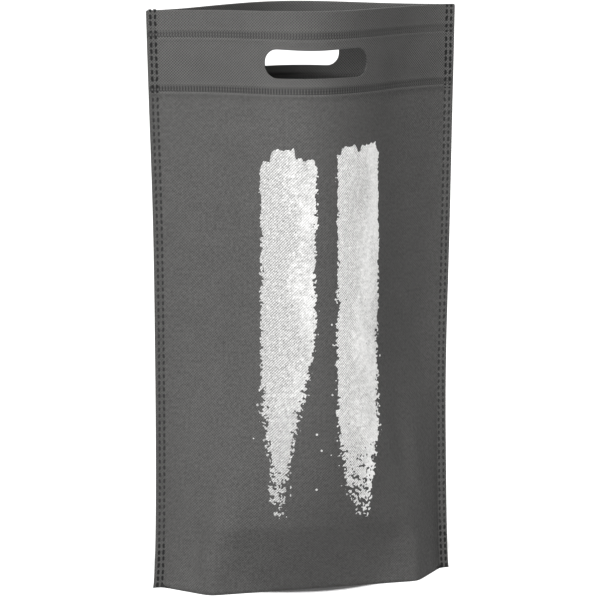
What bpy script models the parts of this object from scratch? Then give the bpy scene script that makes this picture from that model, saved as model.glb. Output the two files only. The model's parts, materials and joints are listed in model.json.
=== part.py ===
"""A standing gift bag for two wine bottles, in non-woven fabric welded at its sides, open at its top.

Metres, +Z up. The origin is on the floor under the middle of the bag, and the front faces -Y.
The fabric keeps its width at every height, so a section that is drawn in at its sides bulges more.
"""

import math

import bmesh
import bpy

NAME = "wine_gift_bag"

# The bag as it stands open
BAG_HEIGHT = 0.450
MOUTH_HALF_WIDTH = 0.1138  # from the middle to where a side seam begins
BASE_HALF_WIDTH = 0.1126
WAIST_PULL = 0.0032  # how far each seam bows inwards, halfway up
PANEL_WIDTH = 0.2525  # of the fabric from seam to seam, along its curve
FLARE = 0.75  # 0 where the curve leaves the seams like a parabola, 1 like a cosine
BASE_HALF_DEPTH = 0.0300
BASE_FADE_HEIGHT = 0.200  # the base's corners have softened into the curve of the mouth by here

# The fabric and its gaps
FABRIC = 0.00045
CLEARANCE = 0.0003
EDGE_STANDOFF = 0.00065  # from the centre plane to a panel's outer face, where the seam begins

# The turned hem and its welds
HEM_DEPTH = 0.0630
HEM_WELD_HEIGHT = 0.0050
UPPER_WELD_DROP = 0.0185  # from the top edge to the middle of each band
LOWER_WELD_DROP = 0.0595

# The handle hole, which a die cuts through panel and facing
HOLE_WIDTH = 0.0840
HOLE_HEIGHT = 0.0220
HOLE_CORNER = 0.0100
HOLE_DROP = 0.0389  # from the top edge to the hole's middle
HOLE_CUT_DEPTH = 0.160

# The side seams
FIN_WIDTH = 0.0072
FIN_THICKNESS = 0.0010
SEAM_WELD_WIDTH = 0.0013
OUTER_WELD_IN = 0.0024  # from the fin's outer edge to the middle of each row
INNER_WELD_IN = 0.0058

# The gusset, folded up to this height at each side seam
GUSSET_FOLD = 0.0300
GUSSET_REACH = 0.88  # the share of the ear, from the base's corner to the seam, that it fills
GUSSET_ROOM = 0.0026  # between its edge and a panel's outer face

# Raised marks: weld ribs and printed ink
RAISED_MARK = 0.0002
PRINT_TOP = 0.346
PRINT_FOOT = 0.066
LEFT_PRINT_MIDDLE = -0.0252
LEFT_PRINT_HALF_WIDTH = 0.0198
RIGHT_PRINT_MIDDLE = 0.0335
RIGHT_PRINT_HALF_WIDTH = 0.0190
PRINT_TAPER = 0.45  # how much of its width a stroke has lost at its foot

FRONT = -1
BACK = 1
LEFT = -1
RIGHT = 1


# The bag's curve


def base_corner():
    """How far out the base's corners are, so that its outline is as long as the fabric is wide."""
    slack = PANEL_WIDTH / 2 - BASE_HALF_WIDTH
    ear = (BASE_HALF_DEPTH**2 - slack**2) / (2 * slack)
    return BASE_HALF_WIDTH - ear


BASE_CORNER = base_corner()


def half_width(z):
    """Half the chord from seam to seam, with the seams bowed inwards."""
    up = z / BAG_HEIGHT
    straight = BASE_HALF_WIDTH + (MOUTH_HALF_WIDTH - BASE_HALF_WIDTH) * up
    return straight - WAIST_PULL * math.sin(math.pi * up)


def base_share(z):
    """1 at the floor, where the section is the base's hexagon, and 0 where it is all mouth."""
    t = min(max(z / BASE_FADE_HEIGHT, 0.0), 1.0)
    return 1 - t * t * (3 - 2 * t)


def section(x, z, bulge):
    """A panel's distance from the centre plane, for a given bulge of its curved part."""
    half = half_width(z)
    across = min(abs(x) / half, 1.0)
    parabola = 1 - across**2
    cosine = (1 + math.cos(math.pi * across)) / 2
    curved = bulge * (parabola + FLARE * (cosine - parabola))
    ear = min((half - abs(x)) / (half - BASE_CORNER), 1.0)
    share = base_share(z)
    return EDGE_STANDOFF + share * BASE_HALF_DEPTH * ear + (1 - share) * curved


def section_length(z, bulge, steps=60):
    half = half_width(z)
    points = [(half * i / steps, section(half * i / steps, z, bulge)) for i in range(steps + 1)]
    return 2 * sum(math.dist(a, b) for a, b in zip(points, points[1:]))


def bulge_at(z):
    """The bulge that makes the section as long as the fabric is wide, by bisection."""
    low, high = 0.01, 0.12
    for _ in range(24):
        middle = (low + high) / 2
        if section_length(z, middle) < PANEL_WIDTH:
            low = middle
        else:
            high = middle
    return low


def panel_point(x, z, inset, side):
    """The point that lies inset below a panel's outer face, square to the face in plan."""
    bulge = bulge_at(z)
    step = 1e-4
    slope = (section(x + step, z, bulge) - section(x - step, z, bulge)) / (2 * step)
    long = math.hypot(slope, 1.0)
    out = section(x, z, bulge) - inset / long
    return (x + inset * slope / long, side * out, z)


# Making objects


def clear_scene():
    for obj in list(bpy.data.objects):
        bpy.data.objects.remove(obj)


def new_collection(name, hidden=False):
    collection = bpy.data.collections.new(name)
    collection.hide_render = hidden
    bpy.context.scene.collection.children.link(collection)
    return collection


def principled(name, colour, roughness, metallic=0.0):
    material = bpy.data.materials.new(name)
    material.use_nodes = True
    shader = material.node_tree.nodes["Principled BSDF"]
    shader.inputs["Base Color"].default_value = (*colour, 1.0)
    shader.inputs["Roughness"].default_value = roughness
    shader.inputs["Metallic"].default_value = metallic
    return material


def move_to(obj, collection):
    for owner in list(obj.users_collection):
        owner.objects.unlink(obj)
    collection.objects.link(obj)


def formed_sheet(name, columns, rows, place, thickness, material, collection, offset=-1.0):
    """A flat grid from -1 to 1 each way, moved point by point into its form and given its thickness."""
    bpy.ops.mesh.primitive_grid_add(x_subdivisions=columns, y_subdivisions=rows, size=2.0)
    sheet = bpy.context.object
    sheet.name = name
    for vertex in sheet.data.vertices:
        vertex.co = place(vertex.co.x, vertex.co.y)
    solidify = sheet.modifiers.new("Thickness", "SOLIDIFY")
    solidify.thickness = thickness
    solidify.offset = offset
    sheet.data.materials.append(material)
    sheet.data.shade_smooth()
    move_to(sheet, collection)
    return sheet


def on_panel(side, low, high, middle, half, inset):
    """Places a sheet on a panel, from height low to high. The half width may depend on the height."""

    def place(across, up):
        z = low + (high - low) * (up + 1) / 2
        x = middle - side * across * half(z)
        return panel_point(x, z, inset, side)

    return place


def cut(obj, cutter):
    boolean = obj.modifiers.new("Handle hole", "BOOLEAN")
    boolean.operation = "DIFFERENCE"
    boolean.solver = "EXACT"
    boolean.object = cutter


# The sub-parts


def handle_die(collection):
    """The die that cuts the handle hole: a block with its four long corners rounded."""
    bpy.ops.mesh.primitive_cube_add(size=1.0)
    die = bpy.context.object
    die.name = "handle_die"
    size = (HOLE_WIDTH, HOLE_CUT_DEPTH, HOLE_HEIGHT)
    mesh = bmesh.new()
    mesh.from_mesh(die.data)
    bmesh.ops.scale(mesh, vec=size, verts=mesh.verts)
    long_edges = [e for e in mesh.edges if e.calc_length() > HOLE_CUT_DEPTH * 0.99]
    bmesh.ops.bevel(mesh, geom=long_edges, offset=HOLE_CORNER, segments=7, profile=0.5, affect="EDGES")
    mesh.to_mesh(die.data)
    mesh.free()
    die.location = (0.0, 0.0, BAG_HEIGHT - HOLE_DROP)
    die.hide_render = True
    die.display_type = "WIRE"
    move_to(die, collection)
    return die


def make_panel(name, side, die, material, collection):
    place = on_panel(side, 0.0, BAG_HEIGHT, 0.0, half_width, 0.0)
    panel = formed_sheet(name, 26, 16, place, FABRIC, material, collection)
    cut(panel, die)


def make_facing(name, side, die, material, collection):
    """The hem's turned-down layer, inside the panel and just below its fold."""
    margin = 0.0035

    def half(z):
        return half_width(z) - margin

    place = on_panel(side, BAG_HEIGHT - HEM_DEPTH, BAG_HEIGHT - FABRIC, 0.0, half, FABRIC + CLEARANCE)
    facing = formed_sheet(name, 24, 3, place, FABRIC, material, collection)
    cut(facing, die)


def make_hem_weld(name, side, drop, material, collection):
    margin = 0.0020

    def half(z):
        return half_width(z) - margin

    middle = BAG_HEIGHT - drop
    low = middle - HEM_WELD_HEIGHT / 2
    high = middle + HEM_WELD_HEIGHT / 2
    place = on_panel(side, low, high, 0.0, half, -(CLEARANCE + RAISED_MARK))
    formed_sheet(name, 24, 1, place, RAISED_MARK, material, collection)


def make_gusset(material, collection):
    """The gusset opened flat on the floor, with its fold still standing up at each side seam."""
    outer = BASE_CORNER + (BASE_HALF_WIDTH - BASE_CORNER) * GUSSET_REACH
    bulge = bulge_at(0.0)

    def place(across, deep):
        x = across * outer
        past = max(abs(x) - BASE_CORNER, 0.0) / (BASE_HALF_WIDTH - BASE_CORNER)
        reach = section(x, 0.0, bulge) - GUSSET_ROOM
        return (x, deep * reach, FABRIC + GUSSET_FOLD * past * (1 - abs(deep)))

    formed_sheet("bottom_gusset", 34, 8, place, FABRIC, material, collection)


def make_side_seam(name, hand, material, collection):
    """A fin of fused layers, standing straight out of the bag's side."""

    def place(across, up):
        z = BAG_HEIGHT * (up + 1) / 2
        out = CLEARANCE + (FIN_WIDTH - CLEARANCE) * (across + 1) / 2
        return (hand * (half_width(z) + out), 0.0, z)

    formed_sheet(name, 1, 16, place, FIN_THICKNESS, material, collection, offset=0.0)


def make_seam_weld(name, hand, distance_in, material, collection):
    """A row of weld marks, as one narrow rib on the fin's front."""
    margin = 0.0015
    front = -(FIN_THICKNESS / 2 + CLEARANCE + RAISED_MARK / 2)

    def place(across, up):
        z = margin + (BAG_HEIGHT - 2 * margin) * (up + 1) / 2
        out = FIN_WIDTH - distance_in + across * SEAM_WELD_WIDTH / 2
        return (hand * (half_width(z) + out), front, z)

    formed_sheet(name, 1, 16, place, RAISED_MARK, material, collection, offset=0.0)


def make_print(name, middle, half_at_top, material, collection):
    """A brush stroke's ink: broad at its top, and narrower towards its foot."""

    def half(z):
        down = (PRINT_TOP - z) / (PRINT_TOP - PRINT_FOOT)
        return half_at_top * (1 - PRINT_TAPER * down**3)

    place = on_panel(FRONT, PRINT_FOOT, PRINT_TOP, middle, half, -(CLEARANCE + RAISED_MARK))
    formed_sheet(name, 6, 16, place, RAISED_MARK, material, collection)


def main():
    clear_scene()
    parts = new_collection(NAME)
    cutters = new_collection("cutters", hidden=True)
    cloth = principled("nonwoven_charcoal", (0.085, 0.085, 0.083), 0.75)
    fused = principled("fused_welds", (0.05, 0.05, 0.05), 0.45)
    ink = principled("silver_ink", (0.62, 0.62, 0.61), 0.35, metallic=0.6)

    die = handle_die(cutters)
    for word, side in (("front", FRONT), ("back", BACK)):
        make_panel(f"{word}_panel", side, die, cloth, parts)
        make_facing(f"{word}_hem_facing", side, die, cloth, parts)
        make_hem_weld(f"{word}_hem_weld_upper", side, UPPER_WELD_DROP, fused, parts)
        make_hem_weld(f"{word}_hem_weld_lower", side, LOWER_WELD_DROP, fused, parts)
    make_gusset(cloth, parts)
    for word, hand in (("left", LEFT), ("right", RIGHT)):
        make_side_seam(f"{word}_side_seam", hand, cloth, parts)
        make_seam_weld(f"{word}_seam_weld_outer", hand, OUTER_WELD_IN, fused, parts)
        make_seam_weld(f"{word}_seam_weld_inner", hand, INNER_WELD_IN, fused, parts)
    make_print("left_brush_print", LEFT_PRINT_MIDDLE, LEFT_PRINT_HALF_WIDTH, ink, parts)
    make_print("right_brush_print", RIGHT_PRINT_MIDDLE, RIGHT_PRINT_HALF_WIDTH, ink, parts)


main()
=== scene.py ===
"""A standing gift bag for two wine bottles, in dark embossed non-woven fabric with silver brush strokes.

Each side of the bag is one sheet of cloth: its half of the side fins, its panel, and the turned hem that
goes over the top edge and down inside. The sheet is laid out flat, in metres, as s across and t up, cut
there, and then bent into the standing bag. Welds and ink are placed by the same s and t.
"""

import json
import math

import bpy
import numpy as np
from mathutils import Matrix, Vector

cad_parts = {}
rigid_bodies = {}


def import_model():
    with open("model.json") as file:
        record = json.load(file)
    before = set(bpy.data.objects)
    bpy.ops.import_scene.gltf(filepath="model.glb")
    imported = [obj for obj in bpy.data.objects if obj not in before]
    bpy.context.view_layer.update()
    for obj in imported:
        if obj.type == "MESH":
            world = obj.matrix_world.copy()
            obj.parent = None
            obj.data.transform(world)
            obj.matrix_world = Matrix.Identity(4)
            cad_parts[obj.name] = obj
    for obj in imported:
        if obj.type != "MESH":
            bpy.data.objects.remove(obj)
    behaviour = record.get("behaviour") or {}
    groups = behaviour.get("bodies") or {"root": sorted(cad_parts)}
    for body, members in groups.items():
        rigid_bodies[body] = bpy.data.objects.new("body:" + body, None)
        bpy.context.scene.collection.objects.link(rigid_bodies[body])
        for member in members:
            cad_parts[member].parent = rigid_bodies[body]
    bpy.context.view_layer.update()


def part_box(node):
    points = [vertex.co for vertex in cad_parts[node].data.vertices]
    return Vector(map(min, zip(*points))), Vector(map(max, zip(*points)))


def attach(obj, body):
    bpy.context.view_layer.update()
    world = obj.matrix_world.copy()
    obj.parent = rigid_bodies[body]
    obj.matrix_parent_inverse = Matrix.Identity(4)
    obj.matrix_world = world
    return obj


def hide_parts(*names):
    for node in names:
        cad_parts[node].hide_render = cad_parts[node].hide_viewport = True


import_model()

MM = 0.001
FRONT, BACK = -1, 1
LEFT, RIGHT = -1, 1

# Sizes read from the frame
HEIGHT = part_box("front_panel")[1].z
MOUTH_HALF_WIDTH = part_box("front_panel")[1].x
FIN_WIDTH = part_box("right_side_seam")[1].x - MOUTH_HALF_WIDTH
HEM_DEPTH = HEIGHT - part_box("front_hem_facing")[0].z
HEM_LEVEL = HEIGHT - HEM_DEPTH
UPPER_WELD = [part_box("front_hem_weld_upper")[i].z for i in (0, 1)]
LOWER_WELD = [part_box("front_hem_weld_lower")[i].z for i in (0, 1)]

# The standing bag
PANEL_WIDTH = 0.2525
PANEL_HALF = PANEL_WIDTH / 2
BASE_HALF_WIDTH = {LEFT: 0.1131, RIGHT: 0.1138}
BASE_HALF_DEPTH = 0.0310
BASE_CORNERS = {LEFT: 0.0815, RIGHT: 0.0862}
BASE_FADE_HEIGHT = 0.200  # where the base's shape has given way to the mouth's
CORNER_CRISPNESS = (16.0, 6.0)  # of the base's corners, at the floor and higher up
CRISP_HEIGHT = 0.07
FLARE = 0.75  # 0 makes the open section a parabola, 1 a cosine, which runs flat into the seams
PULL = {LEFT: 0.0037, RIGHT: 0.0029}  # how far the waist is drawn in
WAIST_SKEW = 0.6  # below 1 puts the narrowest place below the middle
NARROWER = 0.0003  # how much the stretched cloth draws each side in
# How much more it does so at one place: how much, how far up and over what reach, as shares of the height
DRAWN_IN = {LEFT: (0.0010, 0.66, 0.20), RIGHT: (0.0014, 0.38, 0.18)}

# The cloth
CLOTH = 0.0004  # its thickness
FIN_HALF_THICKNESS = 0.00045
FIN_CORNER = 0.0014
CLOTH_HALF = PANEL_HALF + FIN_WIDTH  # half the width of the whole flat sheet
BOTTOM_RADIUS = 0.0005
LIP, LIP_FLAT = 0.0030, 0.0032  # how far under the base the sheet comes, and its length
EDGE_LIFT = 0.0013  # how far the bottom edge stands off the floor beside the fins
HEM_INSET = 0.0010  # from the panel's outer face to the facing's
TURN = HEIGHT - HEM_INSET / 2  # where the hem starts to turn over
OVER = math.pi * HEM_INSET / 2  # the length of cloth in the turn
MIRROR = 2 * TURN + OVER  # t and MIRROR - t lie face to face in the hem
HOLE_HALF = (0.0420, 0.0110)
HOLE_CORNER = 0.0100
HOLE_HEIGHT = HEIGHT - 0.0389
GUSSET_LEVEL = 0.0008
GUSSET_FOLD = 0.0300
GUSSET_WELD = 0.0345  # how far up the fins the gusset's layers reach
HAIR = 0.00005  # the gap kept between faces that lie together

# Grid spacing of the cloth
FIN_CELL = 0.00048
PANEL_CELL = (0.0017, 0.0024)  # across and up
HEM_CELL = 0.0011  # up
GROOVE_STEPS = (0.0024, 0.0018, 0.0012, 0.0006, 0.0002, -0.0004)  # outside each edge of a weld band

# Welds
GROOVE = 0.00028  # how far a hem's weld band sinks the cloth
DENT = 0.00016  # how far a row of dashes sinks the fin along its line
BAR_PITCH = 0.0022
BAND_DEPTH, BAR_DEPTH, RIM_DEPTH = 0.00007, 0.00013, 0.00016  # of a band's film, more in bars and at rims
BAR_FILM, DASH_FILM = 0.00008, 0.00006
FIN_CORE = 0.00030
CORE_PROUD = 0.00020  # how far the fin's melted core stands out of its edge
DASH_PITCH = 0.0052
DASH_LENGTH = 0.0038
DASH_WIDTH = 0.0021
DASH_START = 0.0022
DASH_RINGS = ((1.0, 0.00016), (0.93, 0.00003), (0.60, 0.00005))  # size and depth, from rim to lid
DASH_ROWS = {"outer": 0.0029, "inner": 0.0065}  # from the fin's outer edge, at the mouth
DASH_DRIFT = {LEFT: 0.0001, RIGHT: 0.0010}  # how much nearer the edge the rows come at the foot
# A dark film wedge at a fin's foot, painted shadow under the cloth's lifted bottom edge: each point's
# distance inwards from the inner row, and its height
CORNER_SHADOW_WEDGE = (
    (-0.0008, 0.0004), (0.0030, 0.0004), (0.0072, 0.0005),
    (0.0030, 0.0016), (0.0006, 0.0030), (-0.0008, 0.0030),
)  # fmt: skip

# Brush strokes: places are on the flat cloth, and shares run from a stroke's top to its foot. The edges
# draw in to the tip over the taper. A shoulder is (hand, s, half width, drop), a notch (s, reach, drop)
# and a worn place (hand, t, reach).
INK_CELL = 0.0006  # the grid that the ink is cut out of
INK_PROUD = 0.00006
LEFT_STROKE = {
    "edges": (-0.0466, -0.0042),
    "tip": (-0.0412, -0.0226),
    "taper": ((0.66, 0.90), (0.50, 0.87)),
    "top": 0.3462,
    "foot": 0.0690,
    "shoulders": (
        (LEFT, -0.0380, 0.0018, 0.0085),
        (LEFT, -0.0450, 0.0014, 0.0040),
        (RIGHT, -0.0195, 0.0006, 0.0064),
    ),
    "notches": ((-0.0208, 0.0005, -0.0016),),
    "wear": (0.72, 0.78),
    "fading": (0.80, 0.98),
    "worn": ((LEFT, 0.135, 0.026), (RIGHT, 0.150, 0.030), (RIGHT, 0.250, 0.040)),
    "load": 0.68,
    # ink brightness, set low here as painted light: this stroke lies where the key light is strongest
    "silver_and_painted_light": 0.80,
    "seed": 3,
}
RIGHT_STROKE = {
    "edges": (0.0132, 0.0553),
    "tip": (0.0260, 0.0455),
    "taper": ((0.88, 1.04), (0.76, 1.02)),
    "top": 0.3480,
    "foot": 0.0665,
    "shoulders": ((LEFT, 0.0168, 0.0022, 0.0058), (RIGHT, 0.0532, 0.0018, 0.0050)),
    "notches": ((0.0330, 0.0020, 0.0050),),
    "wear": (0.22, 0.80),
    "fading": (0.70, 0.98),
    "worn": ((RIGHT, 0.185, 0.045), (RIGHT, 0.112, 0.010), (LEFT, 0.100, 0.028)),
    "load": 0.60,
    # ink brightness, set high here as painted light standing in for the ink's reflection where the key
    # light is weaker
    "silver_and_painted_light": 1.14,
    "seed": 8,
}
FLECKS = 5

# Colours, and the pitch of the pattern pressed in the cloth
CHARCOAL = (0.0495, 0.0488, 0.0476)
# FILM also colours the painted-shadow wedges at the fins' feet
FILM = (0.0100, 0.0100, 0.0098)
SILVER = (0.62, 0.618, 0.610)
EMBOSS_PITCH = 0.00153

# The camera
VIEW_AZIMUTH, VIEW_ELEVATION, VIEW_DISTANCE = -13.8, 10.5, 2.0
VIEW_AIM = Vector((-0.0020, 0.0, 0.2232))
LENS = 154.75

# The lights: the key in front on the left, a fill behind on the right, a sun above, and the world
KEY_PLACE = (-0.970, -1.386, 0.841)
KEY_SIZE = 0.9
KEY_POWER = 46
FILL_PLACE = (0.90, 1.60, 1.20)
FILL_SIZE = 1.2
FILL_POWER = 50
SUN_AZIMUTH = -13.8  # degrees, negative to the left of straight in front
SUN_LEAN = 11.0  # degrees from upright
SUN_SPREAD = 6.5
SUN_STRENGTH = 4.2
SKY, HORIZON, GROUND = 0.11, 0.50, 0.84


def smoothstep(low, high, value):
    t = np.clip((value - low) / (high - low), 0.0, 1.0)
    return t * t * (3 - 2 * t)


def bump(value, middle, reach):
    """1 at middle, falling smoothly to almost 0 about two reaches away."""
    return np.exp(-(((value - middle) / reach) ** 2))


# The form of the bag: where each point of the flat cloth comes to


def half_width(z, hand):
    up = z / HEIGHT
    straight = BASE_HALF_WIDTH[hand] + (MOUTH_HALF_WIDTH - BASE_HALF_WIDTH[hand]) * up - NARROWER
    waist = PULL[hand] * math.sin(math.pi * up**WAIST_SKEW)
    more, place, reach = DRAWN_IN[hand]
    return straight - waist - more * bump(up, place, reach)


def standoff(z):
    """Half the thickness of the side fins, thicker where the hem and the gusset add their layers."""
    hem = smoothstep(HEM_LEVEL - 0.004, HEM_LEVEL, z)
    fold = 1 - smoothstep(GUSSET_FOLD, GUSSET_FOLD + 0.006, z)
    return FIN_HALF_THICKNESS * (1 + hem + 0.8 * fold)


def section(across, z, bulge, half):
    """Distance from the centre plane at across, which runs from -1 to 1 between the seams."""
    parabola = 1 - across**2
    cosine = (1 + np.cos(np.pi * across)) / 2
    curved = bulge * (parabola + FLARE * (cosine - parabola))
    corner = np.where(across < 0, BASE_CORNERS[LEFT], BASE_CORNERS[RIGHT])
    ear = (1 - np.abs(across)) * half / (half - corner)
    low, high = CORNER_CRISPNESS
    k = low + (high - low) * smoothstep(0, CRISP_HEIGHT, z)
    ear = -np.log(np.exp(-k * ear) + math.exp(-k)) / k + math.log(1 + math.exp(-k)) / k
    share = 1 - smoothstep(0.0, BASE_FADE_HEIGHT, z)
    return share * BASE_HALF_DEPTH * np.maximum(ear, 0) + (1 - share) * curved


def section_row(z):
    """x and y along one level of the panel, evenly spaced by length of cloth, outer face."""
    across = np.linspace(-1, 1, 801)
    halves = np.where(across < 0, half_width(z, LEFT), half_width(z, RIGHT))
    x = across * halves
    low, high = 0.005, 0.14
    for _ in range(26):
        bulge = (low + high) / 2
        y = section(across, z, bulge, halves)
        length = np.concatenate([[0], np.cumsum(np.hypot(np.diff(x), np.diff(y)))])
        if length[-1] < PANEL_WIDTH:
            low = bulge
        else:
            high = bulge
    along = (length / length[-1] - 0.5) * PANEL_WIDTH
    return along, x, y


def waves(s, t, seed, lengths, tilt):
    """A smooth random relief of about -1 to 1: waves of the given lengths in seeded directions."""
    rng = np.random.default_rng(seed)
    total = np.zeros_like(s)
    for length in lengths:
        angle = rng.normal(tilt, 0.5)
        phase = rng.uniform(0, 2 * math.pi)
        total += np.sin(2 * math.pi * (s * math.cos(angle) + t * math.sin(angle)) / length + phase)
    return total / math.sqrt(len(lengths))


def front_relief(s, t):
    """How far the front stands out of, or in from, its plain curve: soft dents of an empty bag."""
    crease = -0.0034 * bump(s + 0.094 - 0.20 * (t - 0.055), 0.0, 0.010) * bump(t, 0.052, 0.050)
    ridge = 0.0012 * bump(s + 0.068 - 0.20 * (t - 0.055), 0.0, 0.014) * bump(t, 0.050, 0.050)
    right_fold = -0.0020 * bump(s - 0.090 + 0.14 * (t - 0.05), 0.0, 0.011) * bump(t, 0.085, 0.050)
    left_hollow = -0.0012 * bump(s, -0.080, 0.018) * bump(t, 0.270, 0.110)
    right_hollow = -0.0014 * bump(s, 0.078, 0.020) * bump(t, 0.300, 0.120)
    hem_puff = 0.0005 * bump(t, HOLE_HEIGHT, 0.014) * smoothstep(0.045, 0.060, np.abs(s))
    return crease + ridge + right_fold + left_hollow + right_hollow + hem_puff


def back_relief(s, t):
    foot_dent = -0.0022 * bump(s, 0.060, 0.016) * bump(t, 0.080, 0.070)
    side_dent = -0.0018 * bump(s + 0.072 + 0.2 * (t - 0.09), 0.0, 0.014) * bump(t, 0.090, 0.060)
    belly_dent = -0.0016 * bump(s - 0.2 * (t - 0.28), 0.030, 0.030) * bump(t, 0.280, 0.070)
    return foot_dent + side_dent + belly_dent


def fin_wander(z):
    """How far a side fin, both layers together, strays from the centre plane."""
    return 0.0006 * np.sin(2 * math.pi * z / 0.31 + 0.7) * np.sin(math.pi * z / HEIGHT)


class Side:
    """One side of the bag as a table of points and outward normals over its flat cloth."""

    def __init__(self, side):
        self.side = side
        self.z = np.linspace(0, HEIGHT, 361)
        self.s = np.linspace(-CLOTH_HALF, CLOTH_HALF, 381)
        points = np.zeros((len(self.z), len(self.s), 3))
        for row, z in enumerate(self.z):
            along, x, y = section_row(z)
            inside = np.clip(self.s, -PANEL_HALF, PANEL_HALF)
            out = np.interp(inside, along, y) + standoff(z)
            points[row, :, 0] = np.interp(inside, along, x) + (self.s - inside)
            points[row, :, 1] = side * out
            points[row, :, 2] = z
        s, t = np.meshgrid(self.s, self.z)
        within = smoothstep(0, 0.022, PANEL_HALF - np.abs(s))
        level = smoothstep(0.0, 0.05, t) * (0.35 + 0.65 * smoothstep(0, 0.05, HEIGHT - t))
        shape = front_relief(s, t) if side == FRONT else back_relief(s, t)
        long = waves(s, t, 11 + side, (0.16, 0.12, 0.21), 0.15)
        short = waves(s, t, 23 + side, (0.052, 0.067, 0.043, 0.036), 0.3)
        relief = shape * smoothstep(0.0, 0.02, t) + level * (0.0007 * long + 0.00013 * short)
        points += (relief * within)[..., None] * self.normals_of(points)
        points[..., 1] += fin_wander(self.z)[:, None] * (1 - within)
        self.points = points
        self.outward = self.normals_of(points)

    def normals_of(self, points):
        across = np.gradient(points, self.s, axis=1)
        up = np.gradient(points, self.z, axis=0)
        normal = np.cross(across, up) * -self.side
        return normal / np.linalg.norm(normal, axis=2, keepdims=True)

    def at(self, s, z, inset=0.0):
        """Points for arrays of s and height z, inset below the outer face."""
        s, z, inset = np.broadcast_arrays(*(np.asarray(v, float) for v in (s, z, inset)))
        column = np.clip((s - self.s[0]) / (self.s[1] - self.s[0]), 0, len(self.s) - 1.001)
        row = np.clip((z - self.z[0]) / (self.z[1] - self.z[0]), 0, len(self.z) - 1.001)
        i, j = column.astype(int), row.astype(int)
        a, b = (column - i)[..., None], (row - j)[..., None]

        def read(table):
            low = table[j, i] * (1 - a) + table[j, i + 1] * a
            high = table[j + 1, i] * (1 - a) + table[j + 1, i + 1] * a
            return low * (1 - b) + high * b

        point = read(self.points)
        point[..., 2] = z
        return point - inset[..., None] * read(self.outward)

    def depth_at(self, x, z):
        """Distance of the outer face from the centre plane at x and height z."""
        row = self.points[int(round(z / self.z[1]))]
        return float(np.interp(x, row[:, 0], np.abs(row[:, 1])))


# Meshes


def mesh_object(name, points, faces, flat):
    """A mesh whose UV map, named cloth, holds each point's place on the flat cloth in metres."""
    mesh = bpy.data.meshes.new(name)
    mesh.from_pydata([tuple(p) for p in points], [], faces)
    layer = mesh.uv_layers.new(name="cloth")
    corners = np.empty(len(mesh.loops), np.int32)
    mesh.loops.foreach_get("vertex_index", corners)
    layer.data.foreach_set("uv", np.asarray(flat, np.float32)[corners].ravel())
    mesh.shade_smooth()
    obj = bpy.data.objects.new(name, mesh)
    bpy.context.scene.collection.objects.link(obj)
    return obj


def thicken(obj, thickness, offset=-1.0, sharp=45):
    """Gives the sheet its thickness, applied, with crisp cut edges."""
    solidify = obj.modifiers.new("Thickness", "SOLIDIFY")
    solidify.thickness = thickness
    solidify.offset = offset
    graph = bpy.context.evaluated_depsgraph_get()
    made = bpy.data.meshes.new_from_object(obj.evaluated_get(graph))
    obj.modifiers.clear()
    obj.data = made
    made.shade_smooth()
    made.set_sharp_from_angle(angle=math.radians(sharp))
    return obj


def grid_faces(rows, columns, flip):
    faces = []
    for j in range(rows - 1):
        for i in range(columns - 1):
            a = j * columns + i
            face = (a, a + 1, a + columns + 1, a + columns)
            faces.append(face[::-1] if flip else face)
    return faces


def compact(points, faces, flat):
    """Drops the points that no face uses."""
    used = np.unique(np.concatenate([np.array(f) for f in faces]))
    renumber = -np.ones(len(points), int)
    renumber[used] = np.arange(len(used))
    return points[used], [tuple(renumber[list(f)]) for f in faces], flat[used]


def spaced(low, high, step):
    return np.linspace(low, high, max(2, int(math.ceil((high - low) / step)) + 1))


def refined(lines, extra):
    """Grid lines with extra ones put in, and any old line that is too close to an extra one left out."""
    near = np.abs(lines[:, None] - extra[None, :]).min(axis=1)
    keep = lines[near > 0.0004]
    return np.unique(np.concatenate([keep, extra]))


# The cloth sheets


def hole_distance(s, t, middle):
    """Signed distance from the rim of a handle hole, negative inside it."""
    dx = np.abs(s) - (HOLE_HALF[0] - HOLE_CORNER)
    dy = np.abs(t - middle) - (HOLE_HALF[1] - HOLE_CORNER)
    outside = np.hypot(np.maximum(dx, 0), np.maximum(dy, 0))
    return outside + np.minimum(np.maximum(dx, dy), 0) - HOLE_CORNER


def cut_hole(s, t, faces, middle):
    """Cuts a hole in the flat cloth: faces inside it go, and the points at its rim are drawn onto it."""
    centre_s = np.array([s[list(f)].mean() for f in faces])
    centre_t = np.array([t[list(f)].mean() for f in faces])
    inside = hole_distance(centre_s, centre_t, middle) < 0
    kept = [f for f, gone in zip(faces, inside) if not gone]
    removed = {v for f, gone in zip(faces, inside) if gone for v in f}
    rim = np.array(sorted(removed & {v for f in kept for v in f}))
    step = 1e-5
    for _ in range(3):
        d = hole_distance(s[rim], t[rim], middle)
        ds = hole_distance(s[rim] + step, t[rim], middle) - d
        dt = hole_distance(s[rim], t[rim] + step, middle) - d
        long = np.hypot(ds, dt)
        s[rim] -= d * ds / long
        t[rim] -= d * dt / long
    return kept


def groove(t, band):
    """1 in a weld band and 0 on the cloth, with a slight swelling of -0.5 just outside each edge."""
    edge = 0.0004
    low, high = band
    sunk = smoothstep(low - edge, low + edge, t) * (1 - smoothstep(high - edge, high + edge, t))
    swelling = bump(t, low - 0.0013, 0.0009) + bump(t, high + 0.0013, 0.0009)
    return sunk - 0.5 * swelling


def row_place(hand, row, t):
    """The s of a seam's row of dashes at height t."""
    nearer = DASH_DRIFT[hand] * (1 - np.clip(t / HEIGHT, 0, 1))
    return hand * (CLOTH_HALF - DASH_ROWS[row] + nearer)


def cloth_columns():
    """Grid lines across the cloth, closest on the fins."""
    inner = PANEL_HALF - 0.0024
    fin_lines = spaced(inner, CLOTH_HALF, FIN_CELL)
    return np.concatenate([-fin_lines[::-1], spaced(-inner, inner, PANEL_CELL[0])[1:-1], fin_lines])


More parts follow.
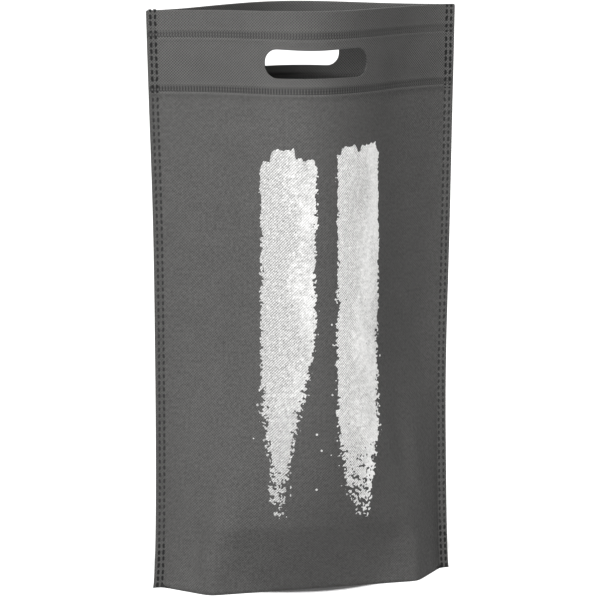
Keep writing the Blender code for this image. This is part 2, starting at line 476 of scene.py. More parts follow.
def cloth_rows():
    """Grid lines up the side to the turn, closer in the hem and closest at the edges of the weld bands."""
    hem = HEM_LEVEL - 0.007
    rows = np.concatenate([spaced(BOTTOM_RADIUS, hem, PANEL_CELL[1]), spaced(hem, TURN, HEM_CELL)[1:]])
    bands = UPPER_WELD, LOWER_WELD
    rows = refined(rows, np.array([low - step for low, _ in bands for step in GROOVE_STEPS]))
    return refined(rows, np.array([high + step for _, high in bands for step in GROOVE_STEPS]))


def profile(rows):
    """The sheet's own line from the lip under the base, up the side, over the top and down inside.

    Gives flat height, standing height and inset for each line of the grid.
    """
    bend = np.linspace(math.pi / 2, 0, 4)[:-1]
    lip = BOTTOM_RADIUS * (1 - np.sin(bend))
    fold = np.linspace(0, math.pi, 8)[1:-1]
    down = spaced(0, HEM_DEPTH - HEM_INSET / 2, 0.0015)
    height = [[0.0], lip, rows, TURN + HEM_INSET / 2 * np.sin(fold), TURN - down]
    inset = [[LIP], BOTTOM_RADIUS * np.cos(math.pi / 2 - bend), 0 * rows]
    inset += [HEM_INSET * (1 - np.cos(fold)) / 2, HEM_INSET + 0 * down]
    flat = [[-LIP_FLAT], -BOTTOM_RADIUS * bend, rows, TURN + OVER * fold / math.pi, TURN + OVER + down]
    return (np.concatenate(part) for part in (flat, height, inset))


def rounded_fin(s, z):
    """Draws the fins' upper corners in to their rounding."""
    from_top = np.clip(1 - (HEIGHT - z) / FIN_CORNER, 0, 1)
    past = np.clip((np.abs(s) - PANEL_HALF) / FIN_WIDTH, 0, 1)
    return s - np.sign(s) * past * FIN_CORNER * (1 - np.sqrt(1 - from_top**2))


def edge_rise(s, z, side):
    """How far the sheet stands above its level: it lifts beside the fins' feet and sags over the handle."""
    lift = EDGE_LIFT * bump(np.abs(s), PANEL_HALF - 0.0042, 0.0032) * (1 - smoothstep(0, 0.014, z))
    sag = 0.0016 * bump(s, -0.004, 0.026) * bump(z, HOLE_HEIGHT + HOLE_HALF[1] + 0.002, 0.006)
    slack = mouth_slack(s, side) * smoothstep(HEIGHT - 0.16, HEIGHT, z)
    return lift - sag + slack


def pressed(s, z, inside):
    """How far the welds press the cloth in: the hem's bands, and on the fins the rows of dashes."""
    press = GROOVE * (groove(z, UPPER_WELD) + groove(z, LOWER_WELD))
    in_fin = np.abs(s) > PANEL_HALF - 0.001
    for row in DASH_ROWS:
        middle = np.where(s < 0, row_place(LEFT, row, z), row_place(RIGHT, row, z))
        press += DENT * bump(s - middle, 0, 0.0009)
    return np.where(in_fin, np.where(inside, 0, np.clip(press, 0, 0.00034)), press)


def make_cloth(name, side, form):
    """A side's sheet: fins, panel, and the hem turned over the top edge and down inside."""
    columns = cloth_columns()
    flat_t, height, inset = profile(cloth_rows())
    s, t = (a.ravel().copy() for a in np.meshgrid(columns, flat_t))
    faces = grid_faces(len(flat_t), len(columns), flip=side == BACK)
    faces = cut_hole(s, t, faces, HOLE_HEIGHT)
    faces = cut_hole(s, t, faces, MIRROR - HOLE_HEIGHT)

    inside = t > MIRROR / 2
    z = np.where(t > TURN + OVER, MIRROR - t, np.interp(t, flat_t, height))
    placed = rounded_fin(s, z)
    room = np.abs(form.at(placed, z)[:, 1]) - HAIR
    depth = np.minimum(np.interp(t, flat_t, inset), room)
    press = pressed(s, z, inside)
    points = form.at(placed, z, np.where(inside, depth - press, depth + press))
    points[:, 2] += edge_rise(s, z, side)
    points, faces, flat = compact(points, faces, np.stack([s, t], -1))
    return thicken(mesh_object(name, points, faces, flat), CLOTH)


def mouth_slack(s, side):
    """How far the top edge stands above or below its level: it droops at the left, and the back rises."""
    droop = -0.0009 * (1 - smoothstep(-CLOTH_HALF, -0.060, s))
    rise = 0.0008 * bump(s, -0.004, 0.060) if side == BACK else 0.0
    return droop + rise


def gusset_place(s, row, hand, edge_line):
    """Where a point of the gusset lies, its row going from -1 at the front edge to 1 at the back one.

    Past the base's corner the two layers run out to the fin: folded up along the middle to a peak on the
    fin, and along their edges to the fin's foot.
    """
    corner = Vector((BASE_CORNERS[hand], edge_line, 0))
    ridge = Vector((BASE_CORNERS[hand], 0, 0))
    peak = Vector((BASE_HALF_WIDTH[hand] - 0.0008, 0.0003, GUSSET_FOLD))
    foot = Vector((BASE_HALF_WIDTH[hand] - 0.0012, 0.0010, 0))
    across = max(abs(s) - corner.x, 0) / (PANEL_HALF - corner.x)
    inward = 1 - abs(row)
    if across == 0:
        return Vector((abs(s), edge_line * abs(row), 0))
    if inward >= across:
        return ridge + (corner - ridge) * (1 - inward) + (peak - ridge) * across
    return corner + (foot - corner) * across + (peak - foot) * inward


def make_gusset(name, forms):
    """The gusset: flat on the floor, with each end folded up against the fins as a paper bag's is."""
    edge_line = BASE_HALF_DEPTH - 0.0009
    corners = np.array([-BASE_CORNERS[LEFT], BASE_CORNERS[RIGHT]])
    columns = refined(spaced(-PANEL_HALF, PANEL_HALF, 0.003), corners)
    rows = spaced(-1, 1, 0.08)
    points, flat = [], []
    for row in rows:
        for s in columns:
            hand = LEFT if s < 0 else RIGHT
            place = gusset_place(s, row, hand, edge_line)
            x, z = hand * place.x, place.z + GUSSET_LEVEL
            room = forms[BACK if row > 0 else FRONT].depth_at(x, z) - 2 * CLOTH - 0.0001
            points.append((x, math.copysign(min(place.y, max(room, 0.00002)), row), z))
            flat.append((s, row * GUSSET_FOLD))
    obj = mesh_object(name, points, grid_faces(len(rows), len(columns), flip=False), flat)
    return thicken(obj, CLOTH)


# Welds


def make_hem_weld(name, form, band):
    """A weld band across hem and fins, with a row of upright bars pressed in it, outside and inside."""
    margin = 0.0002
    columns = spaced(-CLOTH_HALF + margin, CLOTH_HALF - margin, BAR_PITCH / 5)
    ends = [margin, 0.0003, 0.0007]
    middle = spaced(band[0] + 0.0012, band[1] - 0.0012, 0.0009)
    rows = np.concatenate([[band[0] + e for e in ends], middle, [band[1] - e for e in reversed(ends)]])
    s, t = (a.ravel() for a in np.meshgrid(columns, rows))
    bars = smoothstep(-0.15, 0.45, np.cos(2 * math.pi * s / BAR_PITCH))
    from_edge = np.minimum(t - band[0], band[1] - t)
    sunk = BAND_DEPTH + BAR_DEPTH * bars * smoothstep(0.0001, 0.0007, from_edge)
    sunk += RIM_DEPTH * (1 - smoothstep(0.0, 0.0005, from_edge))
    grid = grid_faces(len(rows), len(columns), flip=form.side == BACK)
    room = np.abs(form.at(s, t)[:, 1]) - HAIR
    facing = np.minimum(HEM_INSET, room) - sunk + 0.00003
    points = np.concatenate([form.at(s, t, sunk), form.at(s, t, facing)])
    within = [f for f in grid if max(abs(s[v]) for v in f) < PANEL_HALF - 0.001]
    faces = grid + [tuple(v + len(s) for v in reversed(f)) for f in within]
    flat = np.tile(np.stack([s, t], -1), (2, 1))
    points, faces, flat = compact(points, faces, flat)
    return thicken(mesh_object(name, points, faces, flat), BAR_FILM, sharp=80)


def rounded_outline(half_long, half_wide, corners=3):
    """Points round a small rectangle with round corners, as (across, up) pairs."""
    radius = half_wide * 0.9
    points = []
    for quarter in range(4):
        middle_s = (half_wide - radius) * (1 if quarter in (0, 3) else -1)
        middle_t = (half_long - radius) * (1 if quarter in (0, 1) else -1)
        for step in range(corners + 1):
            angle = math.pi / 2 * (quarter + step / corners)
            points.append((middle_s + radius * math.cos(angle), middle_t + radius * math.sin(angle)))
    return points


def add_ring(shape, form, s, z, sink):
    """Adds a ring of points to shape, sink below the outer face, and gives its first point's number."""
    points, _, flat = shape
    points.extend(form.at(s, z, sink))
    flat.extend(zip(s, z))
    return len(points) - len(s)


def add_shadow_wedge(shape, hand, side, form):
    """A dark film patch at a fin's inner bottom corner: painted shadow under the cloth's lifted bottom
    edge.
    """
    inwards, z = np.array(CORNER_SHADOW_WEDGE).T
    start = add_ring(shape, form, row_place(hand, "inner", 0) - hand * inwards, z, -HAIR)
    face = tuple(range(start, start + len(z)))
    shape[1].append(face[::-1] if side * hand > 0 else face)


def add_dash(shape, hand, row, side, form, middle, size, lean):
    """One dash, from its rim down to the lid that closes it."""
    outline = np.array(rounded_outline(DASH_LENGTH / 2, DASH_WIDTH / 2))
    count, before = len(outline), None
    faces = []
    for scale, sink in DASH_RINGS:
        up = scale * size * outline[:, 1]
        z = np.clip(middle + up, 0.0003, HEIGHT - 0.0003)
        s = row_place(hand, row, z) + scale * size * outline[:, 0] + lean * up
        s = np.clip(s, -CLOTH_HALF + 0.0002, CLOTH_HALF - 0.0002)
        start = add_ring(shape, form, s, z, sink)
        if before is not None:
            for i in range(count):
                j = (i + 1) % count
                faces.append((before + i, before + j, start + j, start + i))
        before = start
    faces.append(tuple(range(start, start + count)))
    shape[1].extend(face if side == FRONT else face[::-1] for face in faces)


def make_seam_weld(name, hand, row, forms):
    """A row of weld dashes down a fin, on both of its faces: larger where hem or gusset add layers."""
    rng = np.random.default_rng(int(DASH_ROWS[row] * 1e5) + hand)
    shape = [], [], []
    # the inner row also carries the painted-shadow wedge at the fin's foot
    if row == "inner":
        for side, form in forms.items():
            add_shadow_wedge(shape, hand, side, form)
    for k in range(int((HEIGHT - 0.0005) / DASH_PITCH) + 1):
        middle = DASH_START + k * DASH_PITCH + rng.normal(0, 0.00012)
        layers = 1.0 if HEM_LEVEL - 0.003 < middle or middle < GUSSET_WELD else 0.86
        size = layers * (1 + rng.normal(0, 0.05))
        lean = 0.10 * rng.normal()
        for side, form in forms.items():
            add_dash(shape, hand, row, side, form, middle, size, lean)
    points, faces, flat = shape
    return thicken(mesh_object(name, np.array(points), faces, np.array(flat)), DASH_FILM, sharp=60)


def make_fin_core(name, hand):
    """The fused core of a side fin, whose melted edge shows between its two layers."""
    corner = HEIGHT - FIN_CORNER + 0.8 * FIN_CORNER * np.sin(np.linspace(0, 1.5, 6)[1:])
    z = np.concatenate([spaced(0.0002, HEIGHT - FIN_CORNER, 0.004), corner])
    points, flat = [], []
    for level in z:
        near_top = max(0.0, 1 - (HEIGHT - level) / FIN_CORNER)
        edge = CLOTH_HALF + CORE_PROUD - FIN_CORNER * (1 - math.sqrt(1 - near_top**2))
        for s in (CLOTH_HALF - FIN_WIDTH * 0.6, CLOTH_HALF - FIN_WIDTH * 0.3, edge - 0.0003, edge):
            x = half_width(level, hand) + (s - PANEL_HALF)
            slack = mouth_slack(hand * s, FRONT) * (level > HEIGHT - 0.1)
            points.append((hand * x, 0.0, level + slack))
            flat.append((hand * s, level))
    points = np.array(points)
    points[:, 1] += np.repeat(fin_wander(z), 4)
    obj = mesh_object(name, points, grid_faces(len(z), 4, flip=hand == LEFT), np.array(flat))
    return thicken(obj, FIN_CORE, offset=0.0, sharp=70)


# The printed brush strokes


def contour(field, columns, rows):
    """The part of a grid where the field is positive, with its edge drawn through the cells."""
    points, index, faces = [], {}, []

    def corner(i, j):
        key = (i, j)
        if key not in index:
            index[key] = len(points)
            points.append((columns[i], rows[j]))
        return index[key]

    def crossing(a, b):
        key = (min(a, b), max(a, b))
        if key not in index:
            fa, fb = field[a[1], a[0]], field[b[1], b[0]]
            share = min(max(fa / (fa - fb), 0.02), 0.98)
            index[key] = len(points)
            s = columns[a[0]] + share * (columns[b[0]] - columns[a[0]])
            t = rows[a[1]] + share * (rows[b[1]] - rows[a[1]])
            points.append((s, t))
        return index[key]

    for j in range(len(rows) - 1):
        for i in range(len(columns) - 1):
            ring = [(i, j), (i + 1, j), (i + 1, j + 1), (i, j + 1)]
            positive = [field[b, a] > 0 for a, b in ring]
            if not any(positive):
                continue
            face = []
            for k in range(4):
                here, following = ring[k], ring[(k + 1) % 4]
                if positive[k]:
                    face.append(corner(*here))
                if positive[k] != positive[(k + 1) % 4]:
                    face.append(crossing(here, following))
            faces.append(tuple(face))
    return np.array(points), faces


def speckle(s, t, size, seed):
    """Smooth gradient noise over the flat cloth, about -1 to 1, with lumps of the given size."""
    rng = np.random.default_rng(seed)
    order = rng.permutation(512)
    angles = rng.uniform(0, 2 * math.pi, 512)
    u, v = s / size + 1000, t / size + 1000
    i, j = np.floor(u).astype(int), np.floor(v).astype(int)
    a, b = u - i, v - j

    def corner(di, dj):
        angle = angles[order[(order[(i + di) % 512] + j + dj) % 512]]
        return np.cos(angle) * (a - di) + np.sin(angle) * (b - dj)

    fade_a, fade_b = (x**3 * (x * (6 * x - 15) + 10) for x in (a, b))
    low = corner(0, 0) * (1 - fade_a) + corner(1, 0) * fade_a
    high = corner(0, 1) * (1 - fade_a) + corner(1, 1) * fade_a
    return 1.5 * (low * (1 - fade_b) + high * fade_b)


def stroke_outline(s, t, stroke):
    """Depth inside a stroke's sides and inside its top, and the share of the way down it."""
    down = np.clip((stroke["top"] - t) / (stroke["top"] - stroke["foot"]), 0, 1.15)
    edges = []
    for edge, tip, (start, end) in zip(stroke["edges"], stroke["tip"], stroke["taper"]):
        edges.append(edge + smoothstep(start, end, down) * (tip - edge))
    seed = stroke["seed"]
    wander = 0.0007 * speckle(s, t, 0.024, seed) + 0.0007 * speckle(s, t, 0.008, seed + 9)
    across = np.minimum(s - edges[0], edges[1] - s) + wander
    crown = stroke["top"] - t + 0.0016 * speckle(s, t, 0.0058, seed + 10)
    for hand, place, width, drop in stroke["shoulders"]:
        past = smoothstep(place - width, place + width, s)
        crown = crown - drop * (past if hand == RIGHT else 1 - past)
    for place, reach, drop in stroke["notches"]:
        crown = crown - drop * bump(s, place, reach)
    return across, crown, down


def flecks(s, t, stroke):
    """Positive on a few stray drops of ink that lie beside the stroke."""
    rng = np.random.default_rng(stroke["seed"] + 40)
    field = np.full_like(s, -1.0)
    for _ in range(FLECKS):
        edge = stroke["edges"][rng.integers(2)]
        away = math.copysign(rng.uniform(0.0006, 0.0070), edge - sum(stroke["edges"]) / 2)
        level = stroke["foot"] + rng.uniform(0.05, 0.60) * (stroke["top"] - stroke["foot"])
        radius = rng.uniform(0.0005, 0.0010)
        field = np.maximum(field, 1 - np.hypot(s - edge - away, t - level) / radius)
    return field


def stroke_wear(s, t, down, stroke):
    """How ragged the stroke's edges are: more as the brush dries, and more again at its worn places."""
    fresh, dry = stroke["wear"]
    middle = (stroke["edges"][0] + stroke["edges"][1]) / 2
    worn = fresh + (dry - fresh) * smoothstep(0.05, 0.75, down)
    worn = worn + 0.75 * speckle(s, t, 0.026, stroke["seed"] + 4)
    for hand, place, reach in stroke["worn"]:
        worn = worn + 0.8 * (hand * (s - middle) > 0) * bump(t, place, reach)
    return np.clip(worn, 0, 1.6)


def stroke_field(s, t, stroke):
    """Positive where the brush left ink: whole in the middle, broken along its edges and at its foot."""
    across, crown, down = stroke_outline(s, t, stroke)
    seed = stroke["seed"]
    worn = stroke_wear(s, t, down, stroke)
    band = 0.0013 + 0.0044 * worn
    inward = np.minimum(across / band, 1)
    whole = np.minimum(inward - 0.30 * worn * (1 - inward), crown / 0.0022)
    grain = 0.75 * speckle(s, t, 0.0027, seed + 1) + 0.60 * speckle(s, t, 0.0017, seed + 2)
    grain += 0.45 * speckle(s, t, 0.0062, seed + 3)
    tired = smoothstep(0.25, 0.90, down)
    fade = 1.15 * smoothstep(*stroke["fading"], down) + 7.0 * np.maximum(down - 0.965, 0)
    ink = whole + 0.2 - fade + (0.70 + 0.60 * tired) * grain
    return np.maximum(ink, flecks(s, t, stroke))


def make_stroke(name, form, stroke):
    """A stroke's film of ink, lying just proud of the cloth, cut out of a fine grid."""
    margin = 0.007
    columns = spaced(stroke["edges"][0] - margin, stroke["edges"][1] + margin, INK_CELL)
    rows = spaced(stroke["foot"] - margin, stroke["top"] + margin, INK_CELL)
    s, t = np.meshgrid(columns, rows)
    flat, faces = contour(stroke_field(s, t, stroke), columns, rows)
    flat, faces, _ = compact(flat, faces, flat)
    points = form.at(flat[:, 0], flat[:, 1], -INK_PROUD)
    return thicken(mesh_object(name, points, faces, flat), INK_PROUD)


# Materials


class Nodes:
    """Short ways to add shader nodes to a new material."""

    def __init__(self, name):
        self.material = bpy.data.materials.new(name)
        self.material.use_nodes = True
        self.tree = self.material.node_tree
        self.shader = self.tree.nodes["Principled BSDF"]

    def add(self, kind, **settings):
        node = self.tree.nodes.new(kind)
        for key, value in settings.items():
            setattr(node, key, value)
        return node

    def put(self, socket, value):
        if isinstance(value, bpy.types.NodeSocket):
            self.tree.links.new(value, socket)
        else:
            socket.default_value = value

    def math(self, operation, *values, clamp=False):
        node = self.add("ShaderNodeMath", operation=operation, use_clamp=clamp)
        for socket, value in zip(node.inputs, values):
            self.put(socket, value)
        return node.outputs[0]

    def total(self, *terms):
        """The sum of each term's value times its share."""
        result = None
        for value, share in terms:
            if isinstance(value, bpy.types.NodeSocket):
                part = self.math("MULTIPLY", value, share)
            else:
                part = value * share
            result = part if result is None else self.math("ADD", result, part)
        return result

    def ramp(self, value, low, high, shape="LINEAR"):
        """0 up to low and 1 from high on."""
        node = self.add("ShaderNodeMapRange", interpolation_type=shape)
        self.put(node.inputs["Value"], value)
        node.inputs["From Min"].default_value = low
        node.inputs["From Max"].default_value = high
        return node.outputs["Result"]

    def step(self, value, low, high):
        return self.ramp(value, low, high, shape="SMOOTHSTEP")

    def flat(self):
        """The place on the flat cloth, in millimetres: the vector, s and t."""
        uv = self.add("ShaderNodeUVMap", uv_map="cloth")
        scale = self.add("ShaderNodeVectorMath", operation="SCALE")
        self.put(scale.inputs[0], uv.outputs["UV"])
        scale.inputs["Scale"].default_value = 1 / MM
        split = self.add("ShaderNodeSeparateXYZ")
        self.put(split.inputs[0], scale.outputs[0])
        return scale.outputs[0], split.outputs["X"], split.outputs["Y"]

    def noise(self, vector, size_mm, detail=2.0, roughness=0.5, stretch=(1, 1, 1), seed=0.0):
        """Clouds about size_mm across, larger along an axis with a smaller stretch; seed moves them."""
        mapping = self.add("ShaderNodeMapping")
        self.put(mapping.inputs["Vector"], vector)
        mapping.inputs["Location"].default_value = (seed, seed * 0.7, 0)
        mapping.inputs["Scale"].default_value = stretch
        node = self.add("ShaderNodeTexNoise")
        self.put(node.inputs["Vector"], mapping.outputs[0])
        node.inputs["Scale"].default_value = 1 / size_mm
        node.inputs["Detail"].default_value = detail
        node.inputs["Roughness"].default_value = roughness
        return node.outputs["Fac"]

    def mix(self, share, first, second):
        node = self.add("ShaderNodeMix", data_type="RGBA")
        self.put(node.inputs["Factor"], share)
        self.put(node.inputs["A"], first)
        self.put(node.inputs["B"], second)
        return node.outputs["Result"]

    def scaled(self, colour, factor):
        node = self.add("ShaderNodeVectorMath", operation="SCALE")
        self.put(node.inputs[0], colour)
        self.put(node.inputs["Scale"], factor)
        return node.outputs[0]

    def bump(self, height, distance, strength=1.0):
        node = self.add("ShaderNodeBump")
        node.inputs["Distance"].default_value = distance
        node.inputs["Strength"].default_value = strength
        self.put(node.inputs["Height"], height)
        self.put(self.shader.inputs["Normal"], node.outputs["Normal"])

    def surface(self, colour, roughness, specular, metal=0.0):
        """Sets the shader's inputs and gives the finished material."""
        for name, value in (
            ("Base Color", colour), ("Roughness", roughness),
            ("Specular IOR Level", specular), ("Metallic", metal),
        ):  # fmt: skip
            self.put(self.shader.inputs[name], value)
        return self.material


def emboss(nodes, s, t, rising_share=0.55):
    """The bonding pattern: small pits at the crossings of two sets of diagonal lines, 0 to 1."""
    turn = 2 * math.pi / (EMBOSS_PITCH / MM * math.sqrt(2))
    rising = nodes.math("COSINE", nodes.math("MULTIPLY", nodes.math("SUBTRACT", s, t), turn))
    falling = nodes.math("COSINE", nodes.math("MULTIPLY", nodes.math("ADD", s, t), turn))
    both = nodes.total((rising, rising_share), (falling, 1 - rising_share))
    return nodes.step(both, -0.35, 0.65)


def cloth_colour(nodes, vector, t, pits):
    """Charcoal, cloudy with laid fibres, with painted shade darkening the pits, strongest in the double
    hem.
    """
    hem = nodes.step(t, HEM_LEVEL / MM - 1, HEM_LEVEL / MM + 1)
    # painted shade in the pits, about three times as strong in the hem
    pits = nodes.math("MULTIPLY", pits, nodes.total((hem, 0.65), (1.0, 0.35)))
    cloud = nodes.noise(vector, 16.0, detail=3.0)
    fibre = nodes.noise(vector, 0.9, detail=4.0, roughness=0.7, stretch=(1.0, 0.35, 1.0))
    lumps = nodes.total((nodes.noise(vector, 2.3, detail=1.0, seed=6.0), 1.0), (1.0, -0.5))
    mottle = nodes.math("MULTIPLY", lumps, nodes.total((hem, -0.6), (1.0, 1.0)))
    # the pits term paints their shade into the colour
    tone = nodes.total(
        (cloud, 0.30), (fibre, 0.3), (mottle, 1.0), (hem, 0.28), (pits, -1.0), (1.0, 0.90)
    )  # fmt: skip
    return nodes.scaled(CHARCOAL, tone), fibre


def cloth_material():
    """Matt spunbond cloth, pressed with pits."""
    nodes = Nodes("nonwoven_charcoal")
    vector, s, t = nodes.flat()
    pits = emboss(nodes, s, t)
    colour, fibre = cloth_colour(nodes, vector, t, pits)
    nodes.bump(nodes.math("SUBTRACT", nodes.math("MULTIPLY", fibre, 0.5), pits), 0.00022)
    rough = nodes.math("ADD", nodes.math("MULTIPLY", fibre, 0.2), 0.60)
    return nodes.surface(colour, rough, 0.25)


def weld_material():
    """A weld band: crushed cloth, and in its bars dark film, fainter to the right and in the upper band."""
    nodes = Nodes("fused_bars")
    vector, s, t = nodes.flat()
    pits = emboss(nodes, s, t)
    colour, fibre = cloth_colour(nodes, vector, t, pits)
    wave = nodes.math("COSINE", nodes.math("MULTIPLY", s, 2 * math.pi / (BAR_PITCH / MM)))
    uneven = nodes.noise(vector, 30.0, detail=2.0, stretch=(1.0, 0.3, 1.0), seed=31.0)
    bars = nodes.step(nodes.total((wave, 1.0), (uneven, 0.9)), 0.0, 0.75)
    film = nodes.scaled(FILM, nodes.math("ADD", fibre, 0.5))
    crushed = nodes.scaled(colour, 0.88)
    # the bars grow fainter towards the right
    fade_to_right = nodes.total((nodes.ramp(s, 10, 100), -0.55), (1.0, 0.95))
    upper = nodes.step(t, LOWER_WELD[1] / MM + 5, UPPER_WELD[0] / MM - 5)
    fainter = nodes.math("MULTIPLY", upper, 0.30)
    bars = nodes.math("MULTIPLY", bars, nodes.math("SUBTRACT", fade_to_right, fainter))
    nodes.bump(nodes.math("MULTIPLY", fibre, 0.5), 0.0001)
    rough = nodes.total((bars, -0.10), (1.0, 0.66))
    return nodes.surface(nodes.mix(bars, crushed, film), rough, 0.2)


def film_material():
    """Melted film, darkest where hem or gusset add layers to the seam; it also colours the painted-shadow
    wedges at the fins' feet.
    """
    nodes = Nodes("fused_film")
    vector, _, t = nodes.flat()
    fibre = nodes.noise(vector, 0.5, detail=3.0)
    hem = nodes.step(t, HEM_LEVEL / MM - 6, HEM_LEVEL / MM - 2)
    gusset = nodes.step(t, GUSSET_WELD / MM + 2, GUSSET_WELD / MM - 1)
    thick = nodes.math("MAXIMUM", hem, gusset)
    thin = nodes.math("SUBTRACT", 1.0, thick)
    uneven = nodes.total((fibre, 1.0), (1.0, 0.2))
    tone = nodes.math("MULTIPLY", uneven, nodes.total((thin, 1.6), (1.0, 0.6)))
    nodes.bump(fibre, 0.00006)
    return nodes.surface(nodes.scaled(FILM, tone), nodes.total((fibre, 0.25), (1.0, 0.46)), 0.2)


def ink_thinness(nodes, vector, s, patch, stroke):
    """1 where the ink is thin, which is mostly at the stroke's left, and 0 where it is thick."""
    across = nodes.ramp(s, *(edge / MM for edge in stroke["edges"]))
    broad = nodes.noise(vector, 26.0, detail=2.0, stretch=(1.0, 0.4, 1.0), seed=4.0)
    load = nodes.total((broad, 1.0), (patch, 0.5), (across, 0.55), (1.0, -0.50))
    return nodes.step(load, stroke["load"] + 0.24, stroke["load"] - 0.24)


def ink_bareness(nodes, vector, pits, thin):
    """The share of cloth that shows: in pinholes, and in the pits where the ink is thin."""
    gaps = nodes.step(nodes.noise(vector, 3.2, detail=1.0, seed=17.0), 0.25, 0.60)
    share = nodes.total((nodes.math("MULTIPLY", gaps, thin), 0.38), (thin, 0.25), (1.0, 0.06))
    pinhole = nodes.step(nodes.noise(vector, 2.3, detail=1.0, seed=21.0), 0.73, 0.77)
    return nodes.math("MAXIMUM", nodes.math("MULTIPLY", pits, share), nodes.math("MULTIPLY", pinhole, 0.8))


def ink_material(name, stroke):
    """Silver ink, grainy and patchy, with the cloth showing dark through it where it is thin."""
    nodes = Nodes(name)
    vector, s, t = nodes.flat()
    pits = emboss(nodes, s, t, rising_share=0.68)
    cloth, fibre = cloth_colour(nodes, vector, t, pits)
    patch = nodes.noise(vector, 4.0, detail=3.0, roughness=0.6, seed=14.0)
    grain = nodes.noise(vector, 1.6, detail=2.0, roughness=0.6, seed=9.0)
    thin = ink_thinness(nodes, vector, s, patch, stroke)
    bare = ink_bareness(nodes, vector, pits, thin)
    rubbed = nodes.math("MULTIPLY", thin, grain)
    # the per-stroke level is partly the ink's own silver and partly painted light, brighter on the right
    # stroke to even out the key light's fall-off
    bright = nodes.total(
        (grain, -0.7), (rubbed, -0.4), (thin, 0.04), (patch, 0.30), (1.0, stroke["silver_and_painted_light"] + 0.20)
    )  # fmt: skip
    nodes.bump(nodes.total((fibre, 0.2), (grain, 0.4), (pits, -0.8)), 0.00012)
    rough = nodes.total((grain, 0.2), (1.0, 0.48))
    metal = nodes.math("MULTIPLY", nodes.math("SUBTRACT", 1.0, bare), 0.15)
    return nodes.surface(nodes.mix(bare, nodes.scaled(SILVER, bright), cloth), rough, 0.3, metal)


def floor_material():
    """Matt white with a trace of grain."""
    nodes = Nodes("pale_floor")
    place = nodes.add("ShaderNodeTexCoord").outputs["Object"]
    grain = nodes.noise(place, 0.8, detail=2.0)
    tone = nodes.total((grain, 0.02), (1.0, 0.95))
    return nodes.surface(nodes.scaled((1.0, 1.0, 1.0), tone), 0.85, 0.1)


# The object


def finish_piece(obj, material, slot, *replaced):
    """Gives a piece its material, and says what it rides on and which CAD solids it replaces. Its slot is
    not used.
    """
    obj.data.materials.clear()
    obj.data.materials.append(material)
    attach(obj, "root")
    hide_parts(*replaced)
    return obj


def build_cloth(forms, cloth, bars):
    """Each side's sheet with the weld bands in its hem."""
    sheets = {}
    for word, side in (("front", FRONT), ("back", BACK)):
        form = forms[side]
        sheet = make_cloth(f"{word}_cloth", side, form)
        sheets[word] = finish_piece(sheet, cloth, "nonwoven_fabric", f"{word}_panel", f"{word}_hem_facing")
        for place, band in (("upper", UPPER_WELD), ("lower", LOWER_WELD)):
            weld = make_hem_weld(f"{word}_hem_bars_{place}", form, band)
            finish_piece(weld, bars, "fused_weld", f"{word}_hem_weld_{place}")
    return sheets


def build_fins(forms, film):
    """The side fins' fused cores and their rows of weld dashes."""
    for word, hand in (("left", LEFT), ("right", RIGHT)):
        core = make_fin_core(f"{word}_fin_core", hand)
        finish_piece(core, film, "nonwoven_fabric", f"{word}_side_seam")
        for row in DASH_ROWS:
            dashes = make_seam_weld(f"{word}_seam_dashes_{row}", hand, row, forms)
            finish_piece(dashes, film, "fused_weld", f"{word}_seam_weld_{row}")


def build_strokes(form):
    for word, stroke in (("left", LEFT_STROKE), ("right", RIGHT_STROKE)):
        ink = ink_material(f"silver_ink_{word}", stroke)
        film = make_stroke(f"{word}_stroke_ink", form, stroke)
        finish_piece(film, ink, "silver_ink", f"{word}_brush_print")


def declare_sheets():
    """Lists the marks on each sheet, the hem's weld bands and on the front the ink, and does nothing more
    with them.
    """
    for word in ("front", "back"):
        marks = [f"{word}_hem_bars_{place}" for place in ("upper", "lower")]
        if word == "front":
            marks += ["left_stroke_ink", "right_stroke_ink"]


def build_bag():
    forms = {FRONT: Side(FRONT), BACK: Side(BACK)}
    cloth, bars, film = cloth_material(), weld_material(), film_material()
    sheets = build_cloth(forms, cloth, bars)
    gusset = finish_piece(make_gusset("gusset_cloth", forms), cloth, "nonwoven_fabric", "bottom_gusset")
    build_fins(forms, film)
    build_strokes(forms[FRONT])
    declare_sheets()


# The studio


def aimed_light(name, kind, place, target):
    data = bpy.data.lights.new(name, kind)
    obj = bpy.data.objects.new(name, data)
    obj.location = place
    obj.rotation_euler = (Vector(target) - Vector(place)).to_track_quat("-Z", "Y").to_euler()
    bpy.context.scene.collection.objects.link(obj)
    return obj


def studio_world():
    """Soft light from all round, strongest from below as off a white floor and weakest from above."""
    world = bpy.data.worlds.new("studio")
    world.use_nodes = True
    tree = world.node_tree
    direction = tree.nodes.new("ShaderNodeTexCoord").outputs["Generated"]
    split = tree.nodes.new("ShaderNodeSeparateXYZ")
    tree.links.new(direction, split.inputs[0])
    height = tree.nodes.new("ShaderNodeMapRange")
    height.inputs["From Min"].default_value = -1.0
    tree.links.new(split.outputs["Z"], height.inputs["Value"])
    ramp = tree.nodes.new("ShaderNodeValToRGB")
    stops = ramp.color_ramp.elements
    levels = ((-0.25, GROUND), (-0.05, HORIZON), (0.10, HORIZON), (0.25, SKY))
    while len(stops) < len(levels):
        stops.new(0.5)
    for stop, (z, level) in zip(stops, levels):
        stop.position = (z + 1) / 2
        stop.color = (level / GROUND, level / GROUND, level / GROUND, 1)
    tree.links.new(height.outputs["Result"], ramp.inputs["Fac"])
    background = tree.nodes["Background"]
    background.inputs["Strength"].default_value = GROUND
    tree.links.new(ramp.outputs["Color"], background.inputs["Color"])
    return world


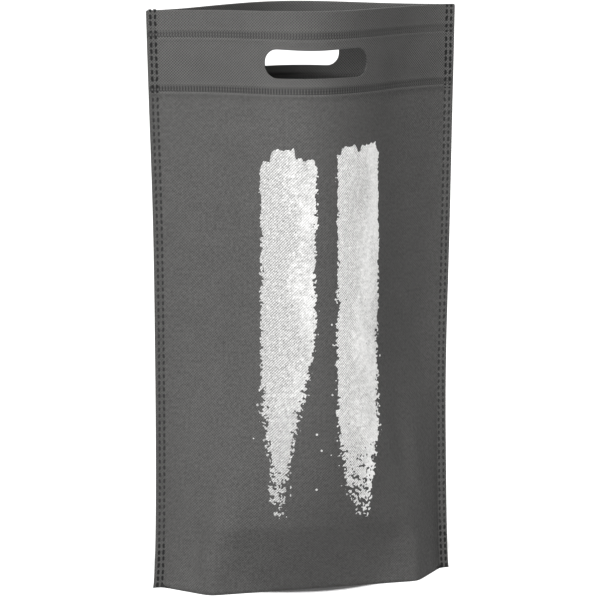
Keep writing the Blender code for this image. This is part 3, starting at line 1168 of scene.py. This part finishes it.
def all_but(floor):
    """The bag without the floor, whose light then comes from above, so that the bag's foot shades it."""
    lit = bpy.data.collections.new("lit_by_lamps")
    for obj in bpy.context.scene.objects:
        if obj.type == "MESH" and obj is not floor:
            lit.objects.link(obj)
    return lit


def lamp(name, place, size, power, lit):
    """A round soft lamp, aimed at the bag's middle, that lights only what is in lit."""
    obj = aimed_light(name, "AREA", place, (0, 0, HEIGHT / 2))
    obj.data.shape = "DISK"
    obj.data.size = size
    obj.data.energy = power
    obj.light_linking.receiver_collection = lit
    return obj


def sun():
    """Light from above that leans towards the camera, so the bag's shadow falls behind it."""
    turn, lean = math.radians(SUN_AZIMUTH), math.radians(SUN_LEAN)
    towards = Vector((math.sin(turn), -math.cos(turn), 0)) * math.tan(lean) + Vector((0, 0, 1))
    top = aimed_light("top", "SUN", 3 * towards, (0, 0, 0))
    top.data.angle = math.radians(SUN_SPREAD)
    top.data.energy = SUN_STRENGTH


def build_studio():
    bpy.ops.mesh.primitive_plane_add(size=60)
    floor = bpy.context.object
    floor.name = "floor"
    floor.visible_diffuse = False  # the world's lower half stands in for the light it would bounce
    floor.data.materials.append(floor_material())
    bpy.context.scene.world = studio_world()
    lit = all_but(floor)
    lamp("key", KEY_PLACE, KEY_SIZE, KEY_POWER, lit)
    fill = lamp("fill", FILL_PLACE, FILL_SIZE, FILL_POWER, lit)
    fill.visible_camera = False
    sun()
    bpy.context.scene.view_settings.view_transform = "Standard"


def build_camera():
    a, e = math.radians(VIEW_AZIMUTH), math.radians(VIEW_ELEVATION)
    back = Vector((math.sin(a) * math.cos(e), -math.cos(a) * math.cos(e), math.sin(e)))
    data = bpy.data.cameras.new("camera")
    data.lens = LENS
    data.sensor_width = 36.0
    camera = bpy.data.objects.new("camera", data)
    camera.location = VIEW_AIM + back * VIEW_DISTANCE
    camera.rotation_mode = "QUATERNION"
    camera.rotation_quaternion = (-back).to_track_quat("-Z", "Y")
    bpy.context.scene.collection.objects.link(camera)
    bpy.context.scene.camera = camera


build_camera()
build_bag()
build_studio()
